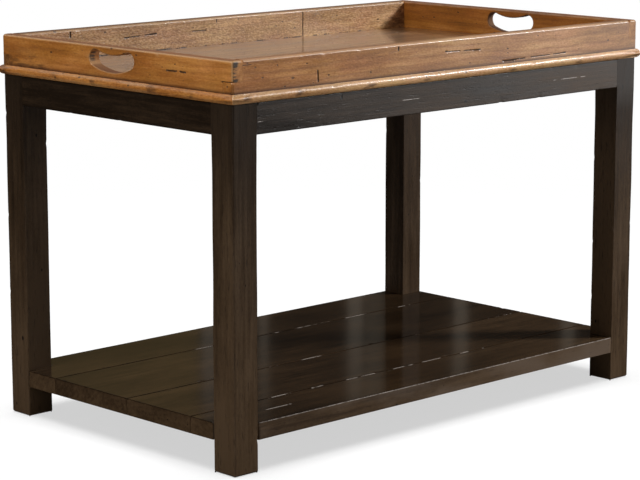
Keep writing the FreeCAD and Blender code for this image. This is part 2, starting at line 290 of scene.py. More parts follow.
class Finish:
    """A piece's material in the making, with a colour that takes one layer after another."""

    def __init__(self, name, along, shift):
        self.material, self.tree, self.shader = new_material(name)
        coordinates = add(self.tree, "TexCoord")
        self.point, self.normal = coordinates["Object"], coordinates["Normal"]
        self.parts = add(self.tree, "SeparateXYZ", Vector=self.point)
        self.place = add(self.tree, "Mapping", Vector=self.point, Rotation=GRAIN_TURN[along],
                         Location=shift)["Vector"]

    def use(self, group, **sockets):
        return add(self.tree, "Group", {"node_tree": group}, **sockets)

    def marks(self):
        """The wear that was noted on the mesh."""
        return [add(self.tree, "Attribute", {"attribute_name": kind})["Fac"] for kind in WEAR]

    def lay(self, share, ink, how="MIX"):
        """Lays a share of another colour over the colour."""
        self.colour = blend(share, self.colour, ink, how)

    def leaning(self, way, start, end):
        """Rises from zero to one as faces turn towards a way, between two cosines."""
        return dot(self.normal, way).spread(start, end)

    def facing(self, way):
        """One on faces that look along a way, zero elsewhere."""
        return self.leaning(way, FACING_START, FACING_END)

    def ends(self, along):
        """One on faces that look along an axis, forth or back, zero elsewhere."""
        return self.facing(AXES[along]) + self.facing(-AXES[along])

    def draw_lines(self, lines, ink):
        """Lays broken lines on it, each (along, across, start, end, place, width, cover)."""
        for number, (along, across, start, end, place, width, cover) in enumerate(lines):
            line = self.use(LINE, Along=self.parts[along], Across=self.parts[across], Start=start, End=end,
                            Place=place, Width=width, Cover=cover, Seed=0.37 * number + 0.1)
            self.lay(line["Line"], ink)

    def draw_ragged_patches(self, smudges_and_shade, ink):
        """Lays ragged patches on it, each (along, across, run, rise, half length, half width, strength)."""
        for along, across, run, rise, half_length, half_width, strength in smudges_and_shade:
            ragged = cloud(scaled(self.place, 0.3), 170.0, 3.0, 0.65)
            off_run = (self.parts[along] - run) / half_length
            off_rise = (self.parts[across] - rise) / half_width
            squared = reckon("MULTIPLY_ADD", off_run, off_run, off_rise * off_rise)
            edge = reckon("MULTIPLY_ADD", ragged, 3.0, reckon("SQRT", squared))
            self.lay(edge.spread(2.5, 1.5, 0.0, strength), ink)

    def complete(self, relief, depth, **sockets):
        """Gives the shader its colour, its relief and its other values."""
        bump = add(self.tree, "Bump", Height=relief, Distance=depth, Strength=1.0)["Normal"]
        plug_all(self.shader, Base_Color=self.colour, Normal=bump, **sockets)
        return self.material


# Colours

def tones(**colours):
    """A palette, each colour with an alpha of one."""
    return {name: (*colour, 1) for name, colour in colours.items()}


END_PALETTE = tones(dark=(0.120, 0.036, 0.0070), mid=(0.375, 0.131, 0.016), light=(0.640, 0.280, 0.062))
RAIL_PALETTE = tones(dark=(0.150, 0.056, 0.0150), mid=(0.430, 0.205, 0.073), light=(0.720, 0.430, 0.200))
BACK_PALETTE = tones(dark=(0.140, 0.062, 0.0210), mid=(0.395, 0.212, 0.090), light=(0.680, 0.430, 0.220))
LAP_PALETTE = {tone: tuple(0.25 * a + 0.75 * b for a, b in zip(RAIL_PALETTE[tone], END_PALETTE[tone]))
               for tone in RAIL_PALETTE}
BASE_PALETTE = tones(dark=(0.0130, 0.0075, 0.0040), mid=(0.044, 0.0250, 0.0122), light=(0.092, 0.055, 0.028),
                     speck=(0.006, 0.004, 0.003), rubbed=(0.60, 0.54, 0.50), chalky=(0.36, 0.32, 0.29))
PLANED_PALETTE = tones(dark=(0.250, 0.150, 0.075), mid=(0.420, 0.290, 0.170), light=(0.560, 0.420, 0.270))
ZINC_PALETTE = tones(dull=(0.42, 0.41, 0.39), bright=(0.66, 0.66, 0.67), spot=(0.30, 0.27, 0.22))
LAP_GREY = (0.050, 0.031, 0.020, 1)
TRAY_GRIME = (0.020, 0.009, 0.006, 1)
# Pale colour for rubbed wear and for painted highlights on arrises
TRAY_RUBBED_AND_HIGHLIGHT = (0.640, 0.390, 0.190, 1)
# Dark glaze: real dirt in patches, and painted shade at the foot of walls, in hand holes and in the back
# corner
GLAZE_AND_SHADE = (0.050, 0.016, 0.007, 1)
ROSY, STRAW = (1.0, 0.92, 0.95, 1), (0.98, 1.0, 0.86, 1)


# Woods and steel

SEAT_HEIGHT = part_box("apron_front")[1].z
RIM_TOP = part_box("tray_end_left")[1].z
# How far the streaks on a lapped end run from its corner, and how softly they end
LAP_START, LAP_REACH, LAP_FADE = 0.001, 0.017, 0.003
# Where a hand hole's walls end, beside its middle and below the rim
HOLE_BESIDE = (0.062, 0.058)
HOLE_BELOW_RIM = (0.005, 0.008)


def streaked_end(wood, along, corner):
    """The open end grain of a lapped board, dark in streaks that fade away from the corner."""
    streaks = cloud(scaled(wood.point, 0.10), 260.0, 3.0, 0.6)
    reach = reckon("MULTIPLY_ADD", streaks, LAP_REACH, corner + LAP_START)
    near = (reach - wood.parts["X"]).spread(-LAP_FADE, LAP_FADE)
    return streaks.spread(0.36, 0.56) * near * wood.ends(along)


def hole_walls(wood, mouth):
    """One on the walls of a hand hole, zero elsewhere."""
    beside = abs(wood.parts["Y"] - mouth).spread(*HOLE_BESIDE)
    below = wood.parts["Z"].spread(*(RIM_TOP - drop for drop in HOLE_BELOW_RIM))
    return beside * below * (1.0 - wood.ends("X"))


def waxed_wood(name, along, shift, palette=END_PALETTE, ring_width=0.011, tone=0.5, rough_sawn=0.3,
               figure=0.15, gloss=0.25, foot_shade=(), dirt=(), rim_dark=0.0, arris_highlight=0.3, lap_corner=None,
               hole=None, end_palette=END_PALETTE, warm=None, dim=None, smudges_and_shade=(), outward=None):
    """Honey-brown stained and waxed wood, flecked and cracked by use, with painted shade and painted
    highlights.
    warm and dim are (start, end, change) along X, foot_shade has rows of (foot, head, strength) of painted
    shade, and hole is (middle, strength of the painted shade on its walls)."""
    wood = Finish(name, along, shift)
    lengthways, height = wood.parts["X"], wood.parts["Z"]
    grain = wood.use(GRAIN, Vector=wood.place, Ring_Width=ring_width, Wander=9.0)
    specks = wood.use(SPECKS, Vector=wood.place, Spacing=0.008, Size=0.22)["Specks"]
    weights = {"Rings": 0.06, "Streak": 0.30, "Blotch": 0.60, "Fleck": 0.85 * rough_sawn, "Fibre": 0.14}
    lightness = weighed(tone, grain, weights)
    if dim:
        start, end, change = dim
        lightness += lengthways.spread(start, end, 0.0, change)
    wood.colour = three_tones(lightness, palette)
    if warm:
        start, end, share = warm
        wood.lay(lengthways.spread(start, end, 0.0, share), three_tones(lightness, END_PALETTE))
    wood.lay(1.0, blend(grain["Tint"], STRAW, ROSY), how="MULTIPLY")
    wood.lay(grain["Latewood"] * grain["Blotch"] * figure, palette["dark"])
    wood.lay(grain["Pores"] * (0.2 + 0.4 * rough_sawn), palette["dark"])
    wood.lay(wood.ends(along), three_tones(lightness, end_palette))
    if lap_corner is not None:
        wood.lay(streaked_end(wood, along, lap_corner), LAP_GREY)
    rim = wood.facing(UPWARD) * rim_dark
    wood.lay(rim, END_PALETTE["dark"])
    worn, arris, pit = wood.marks()
    # Painted highlight: rounded arrises that face up or out are lighter, laid together with the rubbed wear
    bright = arris * arris_highlight
    if outward is None:
        bright *= wood.leaning(UPWARD, 0.0, 0.3)
    else:
        for way in (outward, UPWARD):
            bright *= wood.leaning(way, -0.45, -0.15)
    wood.lay(reckon("MAXIMUM", worn * 0.35, bright), TRAY_RUBBED_AND_HIGHLIGHT)
    # Painted shade along the foot of the walls
    for foot, head, strength in foot_shade:
        wood.lay(height.spread(head, foot, 0.0, strength, smooth=False), GLAZE_AND_SHADE)
    matt = rim
    if hole:
        mouth, strength = hole
        # Painted shade on the hand hole's walls
        walls = hole_walls(wood, mouth)
        wood.lay(walls * strength, GLAZE_AND_SHADE)
        matt = reckon("MAXIMUM", matt, walls)
    wood.draw_lines(dirt, TRAY_GRIME)
    # Ragged patches: dirt on the beads and the left end, painted shadow in the back rail's corner
    wood.draw_ragged_patches(smudges_and_shade, GLAZE_AND_SHADE)
    wood.lay(specks * 0.7, TRAY_GRIME)
    wood.lay(pit.spread(0.15, 0.75), TRAY_GRIME)
    matt = reckon("MAXIMUM", matt, pit)
    dull = weighed(0.42, grain, {"Blotch": 0.14, "Fleck": 0.12}) - worn * 0.15
    relief = weighed(0.5, grain, {"Fibre": 0.20, "Rings": 0.10, "Fleck": rough_sawn})
    relief = relief - grain["Pores"] * 0.12 - specks * 0.6
    return wood.complete(relief, 0.0004, Roughness=reckon("MAXIMUM", dull, matt * 0.9), Coat_Roughness=0.10,
                         Coat_Weight=matt.spread(0.0, 0.5, gloss, 0.0), Specular_IOR_Level=0.45)


def stained_wood(name, along, shift, tone=0.5, rubbed=(), seams=(), gloss=0.0, dull=0.40, shine=0.15,
                 edge=0.02, light_near_floor=0.0, shaded=None, side_light=(), seam_dark=0.0, front_edge=0.0, gloss_rise=None,
                 lengthwise=None, line_ink="rubbed"):
    """Near-black espresso stain, satin, with pale broken lines where it is rubbed through, and painted light
    and shade.
    shaded is (foot, head, strength) of painted shade, side_light has rows of (way, change) of painted light
    by side, light_near_floor is painted light that grows towards the floor, and gloss_rise and lengthwise are
    ranges up Z and along X; lengthwise is painted light."""
    wood = Finish(name, along, shift)
    height = wood.parts["Z"]
    grain = wood.use(GRAIN, Vector=wood.place, Ring_Width=0.008, Wander=4.0)
    specks = wood.use(SPECKS, Vector=wood.place, Spacing=0.02, Size=0.1)["Specks"]
    # Painted light: lighter towards the floor, lighter or darker on faces that look some ways, and changing
    # along X
    painted_light = height.spread(SEAT_HEIGHT, 0.0, 0.0, light_near_floor, smooth=False)
    for way, change in side_light:
        painted_light = reckon("MULTIPLY_ADD", wood.facing(way), change, painted_light)
    if lengthwise:
        painted_light += wood.parts["X"].spread(*lengthwise)
    weights = {"Rings": 0.08, "Streak": 0.34, "Blotch": 0.44, "Fleck": 0.18, "Fibre": 0.18}
    wood.colour = three_tones(weighed(tone, grain, weights) + painted_light, BASE_PALETTE)
    if shaded:
        foot, head, strength = shaded
        wood.lay(height.spread(foot, head, 0.0, strength), BASE_PALETTE["dark"])
    wood.lay(grain["Pores"] * 0.5, BASE_PALETTE["dark"])
    worn, arris, pit = wood.marks()
    wood.lay(worn * edge, BASE_PALETTE["rubbed"])
    for share in (specks, pit.spread(0.1, 0.6), arris * seam_dark):
        wood.lay(share, BASE_PALETTE["speck"])
    wood.draw_lines(seams, BASE_PALETTE["speck"])
    # Along the front: a pale line on the arris, rubbed wear with a painted highlight, and a painted sheen
    # that greys the front face
    if front_edge:
        patchy = grain["Fleck"].spread(0.1, 0.7, 0.3, 1.0)
        wood.lay(arris * wood.leaning(FRONTWARD, 0.2, 0.5) * patchy * front_edge, BASE_PALETTE["rubbed"])
        painted_sheen = wood.facing(FRONTWARD) * grain["Blotch"].spread(0.2, 0.9, 0.02, 0.09)
        wood.lay(painted_sheen, BASE_PALETTE["rubbed"])
    wood.draw_lines(rubbed, BASE_PALETTE[line_ink])
    rough = weighed(dull, grain, {"Blotch": 0.18, "Streak": 0.12})
    relief = weighed(0.5, grain, {"Fibre": 0.3, "Streak": 0.3, "Fleck": 0.2}) - grain["Pores"] * 0.5
    coat = arris.spread(0.0, 0.15, gloss, 0.0)
    if gloss_rise:
        coat *= height.spread(*gloss_rise)
    return wood.complete(relief, 0.0002, Roughness=reckon("MAXIMUM", rough, arris * 0.75), Coat_Weight=coat,
                         Coat_Roughness=0.11, Specular_IOR_Level=shine)


def planed_wood(name, along, shift):
    """Bare planed wood that nobody sees, with its rings and streaks."""
    wood = Finish(name, along, shift)
    grain = wood.use(GRAIN, Vector=wood.place, Ring_Width=0.006, Wander=3.0)
    lightness = weighed(0.5, grain, {"Rings": 0.30, "Streak": 0.30, "Blotch": 0.20, "Fibre": 0.20})
    wood.colour = three_tones(lightness, PLANED_PALETTE)
    for share in (grain["Latewood"] * 0.4, wood.ends(along) * 0.5):
        wood.lay(share, PLANED_PALETTE["dark"])
    relief = weighed(0.5, grain, {"Fibre": 0.5, "Rings": 0.3})
    rough = weighed(0.66, grain, {"Streak": 0.16, "Blotch": 0.10})
    return wood.complete(relief, 0.0002, Roughness=rough, Specular_IOR_Level=0.3)


def zinc_plate(name):
    """Zinc-plated steel: cool grey, cloudy, with fine turning marks."""
    steel = Finish(name, "Z", (0, 0, 0))
    clouds = cloud(steel.point, 420.0, 3.0, 0.6)
    spots = cloud(steel.point, 1500.0, 2.0, 0.5)
    turning = cloud(scaled(steel.point, 0.2, 0.2), 5200.0, 1.0, 0.5)
    steel.colour = blend(clouds.spread(0.3, 0.7), ZINC_PALETTE["dull"], ZINC_PALETTE["bright"])
    steel.lay(spots.spread(0.62, 0.74), ZINC_PALETTE["spot"])
    return steel.complete(turning, 0.00005, Roughness=clouds.spread(0.3, 0.7, 0.28, 0.46), Metallic=1.0)


# Worn boards

MERGE = 1e-6
FLAT_ANGLE = math.radians(0.5)
SHARP_EDGE = math.radians(40)
SHARP_CORNER = math.radians(60)
COARSE_CELL, FINE_CELL, FLOOR_CELL = 0.013, 0.0038, 0.009
# Edges longer than so many cells are halved, for as long as the faces grow by more than this
LONG_EDGE, LEAST_GROWTH = 1.5, 1.05
# How far beside its arrises a board is cut once more, to keep its faces flat
ARRIS_HOLD, LEG_HOLD, RIM_HOLD = 0.0019, 0.0034, 0.0046
RIM_DEPTH, RIM_DROP = 0.006, 0.0008
JOINT_REACH = 0.0017
HOLE_WIDTH, HOLE_SPAN, HOLE_BOW, HOLE_MARGIN = 0.025, 0.078, 0.112, 0.007
FLARE, FLARE_REACH = 0.007, 0.020
APRON_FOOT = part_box("apron_front")[0].z
# Splits: how nearly a face looks their way, the slack at lips and ends, their grime, and how they wander
SAME_WAY = 0.99
LIP_SLACK, END_SLACK = 0.02, 1e-5
LIP_GRIME, LEAST_GRIME, USUAL_GRIME, GRIME_SWING = 0.60, 0.70, 0.85, 1.1
SPLIT_WAVES, SPLIT_WANDER, SPLIT_LEAN = 260, 0.0004, 0.8
# Knocks: how far a normal turns from the axes at an arris, and the ranges of their sizes and dirt
ARRIS_NORMAL = 0.85
KNOCK_RADIUS, KNOCK_DEPTH, KNOCK_DIRT = (0.004, 0.007), (0.0004, 0.0010), (0.0, 0.4)
# Wear: how round an arris is, how the noise drifts and waves, how hewn faces fade, and where it shows
FULL_ROUND = 0.2
DRIFT = (1.7, 0.9, 2.3)
SLOW_WAVES, QUICK_WAVES, HEWN_WAVES = 14, 70, 11
HEWN_FADE, HEWN_LEAST = 0.05, 0.1
WEAR_SHARE, WEAR_START, WEAR_GAIN = 0.6, 0.42, 2.5


def clamped(value, low=0.0, high=1.0):
    return min(high, max(low, value))


def board_mesh(node):
    """A copy of a node's mesh, merged, with its flat faces joined again, and room to note wear."""
    bm = bmesh.new()
    bm.from_mesh(frame["nodes"][node].data)
    bmesh.ops.remove_doubles(bm, verts=bm.verts, dist=MERGE)
    bmesh.ops.dissolve_limit(bm, angle_limit=FLAT_ANGLE, use_dissolve_boundaries=False,
                             verts=bm.verts, edges=bm.edges, delimit=set())
    for layer in WEAR:
        bm.verts.layers.float.new(layer)
    return bm


def slice_at(bm, spot, direction):
    everything = bm.verts[:] + bm.edges[:] + bm.faces[:]
    bmesh.ops.bisect_plane(bm, geom=everything, plane_co=spot, plane_no=direction)


def lay_grid(bm, low, high, cell, holds):
    """Cuts a board's faces into cells that wear can follow, with cuts close beside its arrises."""
    size = high - low
    for axis, direction in enumerate(AXES.values()):
        count = max(1, round(size[axis] / COARSE_CELL))
        for step in range(1, count):
            slice_at(bm, low + direction * (size[axis] * step / count), direction)
    grew = True
    while grew:
        before = len(bm.faces)
        long_edges = [edge for edge in bm.edges if edge.calc_length() > LONG_EDGE * cell]
        bmesh.ops.subdivide_edges(bm, edges=long_edges, cuts=1, use_grid_fill=True)
        grew = len(bm.faces) > before * LEAST_GROWTH
    for direction in AXES.values():
        for inset in holds:
            slice_at(bm, low + direction * inset, direction)
            slice_at(bm, high - direction * inset, direction)


class Face:
    """A flat side of a node's box, such as -Y. Places on it are given along the grain from the middle and
    across it from the lower edge."""

    def __init__(self, node, side, along):
        low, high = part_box(node)
        sign, axis = side
        over = next(name for name in AXES if name not in (axis, along))
        self.normal = AXES[axis] * (1 if sign == "+" else -1)
        self.along, self.over = AXES[along], AXES[over]
        level = high if sign == "+" else low
        middle = (low + high) / 2
        self.corner = (AXES[axis] * level.dot(AXES[axis]) + self.along * middle.dot(self.along)
                       + self.over * low.dot(self.over))

    def at(self, run, rise):
        return self.corner + self.along * run + self.over * rise


def split(bm, face, start, end, width, depth):
    """Opens a split in a flat side, runs it in and a little downwards, and marks it as a pit."""
    first, last = face.at(*start), face.at(*end)
    way = (last - first).normalized()
    aside = way.cross(face.normal)
    middle, reach = (first + last) / 2, (last - first).length / 2
    near = []
    for facet in bm.faces:
        off = facet.calc_center_median() - middle
        if (abs(off.dot(face.normal)) < MM and facet.normal.dot(face.normal) > SAME_WAY
                and abs(off.dot(way)) < reach + 2 * FINE_CELL and abs(off.dot(aside)) < 2 * FINE_CELL):
            near.append(facet)
    if not near:
        return
    corners = {vert for facet in near for vert in facet.verts}
    edges = {edge for facet in near for edge in facet.edges}
    geom = list(corners) + list(edges) + near
    lips = [(first + aside * (width * share), aside) for share in (-0.5, 0.0, 0.5)]
    for spot, direction in (*lips, (first, way), (last, way)):
        geom = bmesh.ops.bisect_plane(bm, geom=geom, plane_co=spot, plane_no=direction)["geom"]
    pit = bm.verts.layers.float["pit"]
    for vert in geom:
        if not isinstance(vert, bmesh.types.BMVert) or not vert.is_valid:
            continue
        off = vert.co - middle
        run = abs(off.dot(way))
        share = 1 - abs(off.dot(aside)) / (width / 2)
        if share < -LIP_SLACK or run > reach + END_SLACK or abs(off.dot(face.normal)) > MM:
            continue
        vert[pit] = LIP_GRIME
        if run > reach - END_SLACK:
            continue
        quick = noise.noise(vert.co * SPLIT_WAVES)
        if share > LIP_SLACK:
            lean = AXES["Z"] * (SPLIT_LEAN * width * (1 - abs(way.z)))
            vert.co -= (face.normal * depth + lean) * share
            vert[pit] = clamped(USUAL_GRIME + GRIME_SWING * quick, LEAST_GRIME)
        vert.co += aside * (SPLIT_WANDER * quick)


def dent(bm, spot, inward, radius, depth, dirt):
    """Presses a hollow into the wood round a spot, and rubs or dirties it."""
    pit = bm.verts.layers.float["pit"]
    worn = bm.verts.layers.float["worn"]
    for vert in bm.verts:
        gone = (vert.co - spot).length / radius
        if gone < 1:
            share = (1 - gone * gone) ** 2
            vert.co += inward * (depth * share)
            vert[pit] = max(vert[pit], dirt * share)
            vert[worn] = max(vert[worn], (1 - dirt) * share)


def knock_arrises(bm, seed, count):
    """Knocks a few small hollows into a board's arrises, here and there."""
    bm.normal_update()
    chance = random.Random(seed)
    edge_verts = [vert for vert in bm.verts if max(abs(part) for part in vert.normal) < ARRIS_NORMAL]
    for vert in chance.sample(edge_verts, min(count, len(edge_verts))):
        dent(bm, vert.co.copy(), -vert.normal, chance.uniform(*KNOCK_RADIUS), chance.uniform(*KNOCK_DEPTH),
             chance.uniform(*KNOCK_DIRT))


def close_joints(bm, low, high):
    """Squares a leg's two arrises against the aprons, so that leg and apron meet without a groove."""
    outer = Vector((low.x if low.x < 0 else high.x, low.y if low.y < 0 else high.y))
    inner = Vector((high.x if low.x < 0 else low.x, high.y if low.y < 0 else low.y))
    for vert in bm.verts:
        if vert.co.z < APRON_FOOT:
            continue
        if abs(vert.co.x - inner.x) < JOINT_REACH and abs(vert.co.y - outer.y) < JOINT_REACH:
            vert.co.y = outer.y
        elif abs(vert.co.y - inner.y) < JOINT_REACH and abs(vert.co.x - outer.x) < JOINT_REACH:
            vert.co.x = outer.x


def flare_hole(bm, low, high, mouth):
    """Eases the outer edge of the right end's hand hole, which hands have rounded over."""
    middle = (low.x + high.x) / 2
    swing = math.asin(HOLE_SPAN / 2 / HOLE_BOW)
    pivot_z = high.z - HOLE_MARGIN - HOLE_WIDTH / 2 + HOLE_BOW * math.cos(swing)
    for vert in bm.verts:
        if vert.co.x < middle:
            continue
        aside, drop = vert.co.y - mouth, pivot_z - vert.co.z
        angle = clamped(math.atan2(aside, drop), -swing, swing)
        off = Vector((aside - HOLE_BOW * math.sin(angle), HOLE_BOW * math.cos(angle) - drop))
        gap = off.length - HOLE_WIDTH / 2
        outward = (vert.co.x - middle) / (high.x - middle)
        share = max(0.0, 1 - max(0.0, gap) / FLARE_REACH) ** 2 * outward ** 2
        off.normalize()
        vert.co.y += FLARE * share * off.x
        vert.co.z += FLARE * share * min(0.0, off.y)


def crown(bm, low, high, across, drop):
    """Lets a rim's top fall away from its middle line to both sides, as handling wears it."""
    middle, half = (low + high).dot(across) / 2, (high - low).dot(across) / 2
    for vert in bm.verts:
        share = clamped((vert.co.z - high.z + RIM_DEPTH) / RIM_DEPTH)
        off = (vert.co.dot(across) - middle) / half
        vert.co.z -= drop * share * off * off


def weather(bm, low, high, rub, sway, seed, flush_from):
    """Wears the arrises unevenly and planes the faces slightly by hand. Every move goes into the wood."""
    worn = bm.verts.layers.float["worn"]
    arris_mark = bm.verts.layers.float["arris"]
    bm.normal_update()
    drift = Vector([seed * step for step in DRIFT])
    moves = []
    for vert in bm.verts:
        normal = vert.normal.copy()
        roundness = 1 - max(abs(part) for part in normal)
        joint = any(edge.calc_face_angle(0.0) > SHARP_CORNER for edge in vert.link_edges)
        arris = 0.0 if joint else min(1.0, roundness / FULL_ROUND)
        slow = 0.5 + 0.5 * noise.noise(vert.co * SLOW_WAVES + drift)
        quick = 0.5 + 0.5 * noise.noise(vert.co * QUICK_WAVES + drift)
        hewn = clamped((flush_from - vert.co.z) / HEWN_FADE, HEWN_LEAST)
        depth = hewn * sway * (0.5 + 0.5 * noise.noise(vert.co * HEWN_WAVES - drift))
        depth += arris * rub * 2.0 * slow * quick
        wear = clamped((WEAR_SHARE * slow + WEAR_SHARE * quick - WEAR_START) * WEAR_GAIN)
        vert[arris_mark] = arris
        vert[worn] = max(vert[worn], arris * wear)
        moves.append((vert, normal * depth))
    for vert, move in moves:
        vert.co -= move
        vert.co = Vector([clamped(vert.co[axis], low[axis], high[axis]) for axis in range(3)])


def new_piece(name, bm, material):
    """Makes a mesh an object of the scene."""
    mesh = bpy.data.meshes.new(name)
    bm.to_mesh(mesh)
    bm.free()
    mesh.materials.append(material)
    piece = bpy.data.objects.new(name, mesh)
    bpy.context.scene.collection.objects.link(piece)
    return piece


def finish_piece(bm, material, node):
    """Makes the mesh a smooth piece that rides with its node's body and stands for the node."""
    piece = new_piece("worn_" + node, bm, material)
    piece.data.shade_smooth()
    piece.data.set_sharp_from_angle(angle=SHARP_EDGE)
    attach(piece, frame["nodes"][node]["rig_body"])
    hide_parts(node)


def worn_board(node, along, material, rub=0.0003, sway=0.0002, seed=0.0, splits=(), split_side="-Y",
               cell=FINE_CELL, crowned=0.0, knocks=8, joints=False, holds=(ARRIS_HOLD,), flared=None):
    """Stands for a node with a worn copy of it. A split is (start, end, width, depth)."""
    bm = board_mesh(node)
    low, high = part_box(node)
    lay_grid(bm, low, high, cell, holds)
    if flared is not None:
        flare_hole(bm, low, high, flared)
    if crowned:
        crown(bm, low, high, AXES["Y" if along == "X" else "X"], crowned)
    if joints:
        close_joints(bm, low, high)
    knock_arrises(bm, seed, knocks)
    weather(bm, low, high, rub, sway, seed, APRON_FOOT if joints else high.z + HEWN_FADE)
    bm.normal_update()
    for row in splits:
        split(bm, Face(node, split_side, along), *row)
    finish_piece(bm, material, node)


def rows(along, across, *places):
    """Lines or smudges that share their two directions."""
    return [(along, across, *place) for place in places]


# Legs

CORNERS = ("front_left", "front_right", "back_left", "back_right")
LEG_SHADE = (0.34, 0.53, 0.55)
LEG_GLOSS_RISE = (0.45, 0.51)
# Painted light on the legs: lighter towards the floor, and lighter or darker by side
LEG_LOOKS = {
    "front_left": {"gloss": 0.35, "light_near_floor": 0.78, "side_light": [(FRONTWARD, -0.08)]},
    "front_right": {"gloss": 0.17, "light_near_floor": 0.78, "side_light": [(FRONTWARD, -0.22), (LEFTWARD, 0.44)]},
    "back_left": {"light_near_floor": 0.78, "side_light": [(LEFTWARD, -0.18), (FRONTWARD, 0.20)]},
    "back_right": {"light_near_floor": 0.60, "side_light": [(FRONTWARD, -0.12), (LEFTWARD, -0.28)]},
}
for number, corner in enumerate(CORNERS):
    node = "leg_" + corner
    stain = stained_wood("espresso_" + node, "Z", (0.3 * number, 0.11 * number, 0.07), tone=0.35,
                         shaded=LEG_SHADE, gloss_rise=LEG_GLOSS_RISE, **LEG_LOOKS[corner])
    worn_board(node, "Z", stain, sway=0.0012, seed=1.3 + number, joints=True,
               holds=(ARRIS_HOLD, LEG_HOLD))

# Aprons

APRON_SHADE = (SEAT_HEIGHT - 0.007, SEAT_HEIGHT - 0.003, 0.9)
APRON_LIGHT = (-0.35, 0.30, -0.10, 0.05)
APRON_SCRATCHES = rows("X", "Z", (-0.108, -0.067, 0.5235, 0.0005, 0.70), (0.241, 0.325, 0.5255, 0.0005, 0.55),
                       (0.221, 0.232, 0.5245, 0.0005, 0.35), (-0.405, -0.388, 0.5245, 0.0005, 0.6),
                       (-0.405, -0.390, 0.5185, 0.0005, 0.6))
APRON_SPLITS = {"front": [((-0.2350, 0.0365), (-0.2340, 0.0445), 0.0022, 0.0012)]}
APRON_LOOKS = {
    "front": {"tone": 0.30, "shine": 0.5, "rubbed": APRON_SCRATCHES, "lengthwise": APRON_LIGHT},
    "back": {"tone": 0.3, "shine": 0.4},
    "left": {"tone": 0.10, "shine": 0.1},
    "right": {"tone": 0.3, "shine": 0.4},
}
for number, (side, along) in enumerate((("front", "X"), ("back", "X"), ("left", "Y"), ("right", "Y"))):
    node = "apron_" + side
    stain = stained_wood("espresso_" + node, along, (0.5 * number, 0.17 * number, 0.21), shaded=APRON_SHADE,
                         **APRON_LOOKS[side])
    worn_board(node, along, stain, seed=6.1 + number, splits=APRON_SPLITS.get(side, ()))

# The shelf

PLANKS = ("front", "mid_front", "mid_back", "back")
PLANK_TONES = {"front": 0.30, "mid_front": 0.24, "mid_back": 0.24, "back": 0.30}
PLANK_LIGHT = (-0.15, 0.30, 0.0, 0.36)
SEAMS = [(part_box("shelf_plank_" + first)[1].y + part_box("shelf_plank_" + second)[0].y) / 2
         for first, second in zip(PLANKS, PLANKS[1:])]
SEAM_DASHES = [
    [(-0.295, -0.244), (-0.218, -0.175), (-0.129, -0.054), (-0.031, 0.027), (0.044, 0.102), (0.116, 0.159),
     (0.188, 0.220)],
    [(-0.304, -0.284), (-0.157, -0.134), (-0.088, -0.037), (0.176, 0.211), (0.366, 0.430)],
    [(-0.163, -0.117), (0.018, 0.038), (0.067, 0.153), (0.188, 0.263), (0.320, 0.355)],
]
SEAM_COVER = (0.55, 0.40, 0.60)
DARK_DASHES = [
    [(-0.400, -0.352), (-0.335, -0.300)],
    [(-0.430, -0.372), (-0.356, -0.318), (-0.270, -0.215)],
    [(-0.434, -0.399), (-0.376, -0.336), (-0.324, -0.244)],
]
PALE_WIDTH, DARK_WIDTH, DARK_COVER = 0.0018, 0.0026, 0.9
SHELF_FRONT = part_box("shelf_plank_front")[0].y
SHELF_LINES = [("X", "Y", start, end, place, PALE_WIDTH, cover)
               for dashes, place, cover in zip(SEAM_DASHES, SEAMS, SEAM_COVER) for start, end in dashes]
SHELF_LINES.append(("X", "Y", -0.346, -0.290, SHELF_FRONT + 0.049, PALE_WIDTH, 0.75))
SHELF_SEAMS = [("X", "Y", start, end, place, DARK_WIDTH, DARK_COVER)
               for dashes, place in zip(DARK_DASHES, SEAMS) for start, end in dashes]


def lines_on(node, lines):
    """The lines that fall on a node."""
    low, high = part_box(node)
    return [(*stretch, place, width, cover) for *stretch, place, width, cover in lines
            if low.y - width < place < high.y + width]


for number, name in enumerate(PLANKS):
    node = "shelf_plank_" + name
    front = name == "front"
    stain = stained_wood("polished_" + node, "X", (0.7 * number, 0.13 * number, 0.31), tone=PLANK_TONES[name],
                         gloss=0.55, dull=0.34, shine=0.0, edge=0.0, seam_dark=0.7, line_ink="chalky",
                         rubbed=lines_on(node, SHELF_LINES), seams=lines_on(node, SHELF_SEAMS),
                         lengthwise=PLANK_LIGHT if "front" in name else None,
                         front_edge=0.7 if front else 0.0,
                         side_light=[(FRONTWARD, 0.46 if front else 0.0), (LEFTWARD, 0.40)])
    worn_board(node, "X", stain, sway=0.00015, seed=11.7 + number)

# The tray

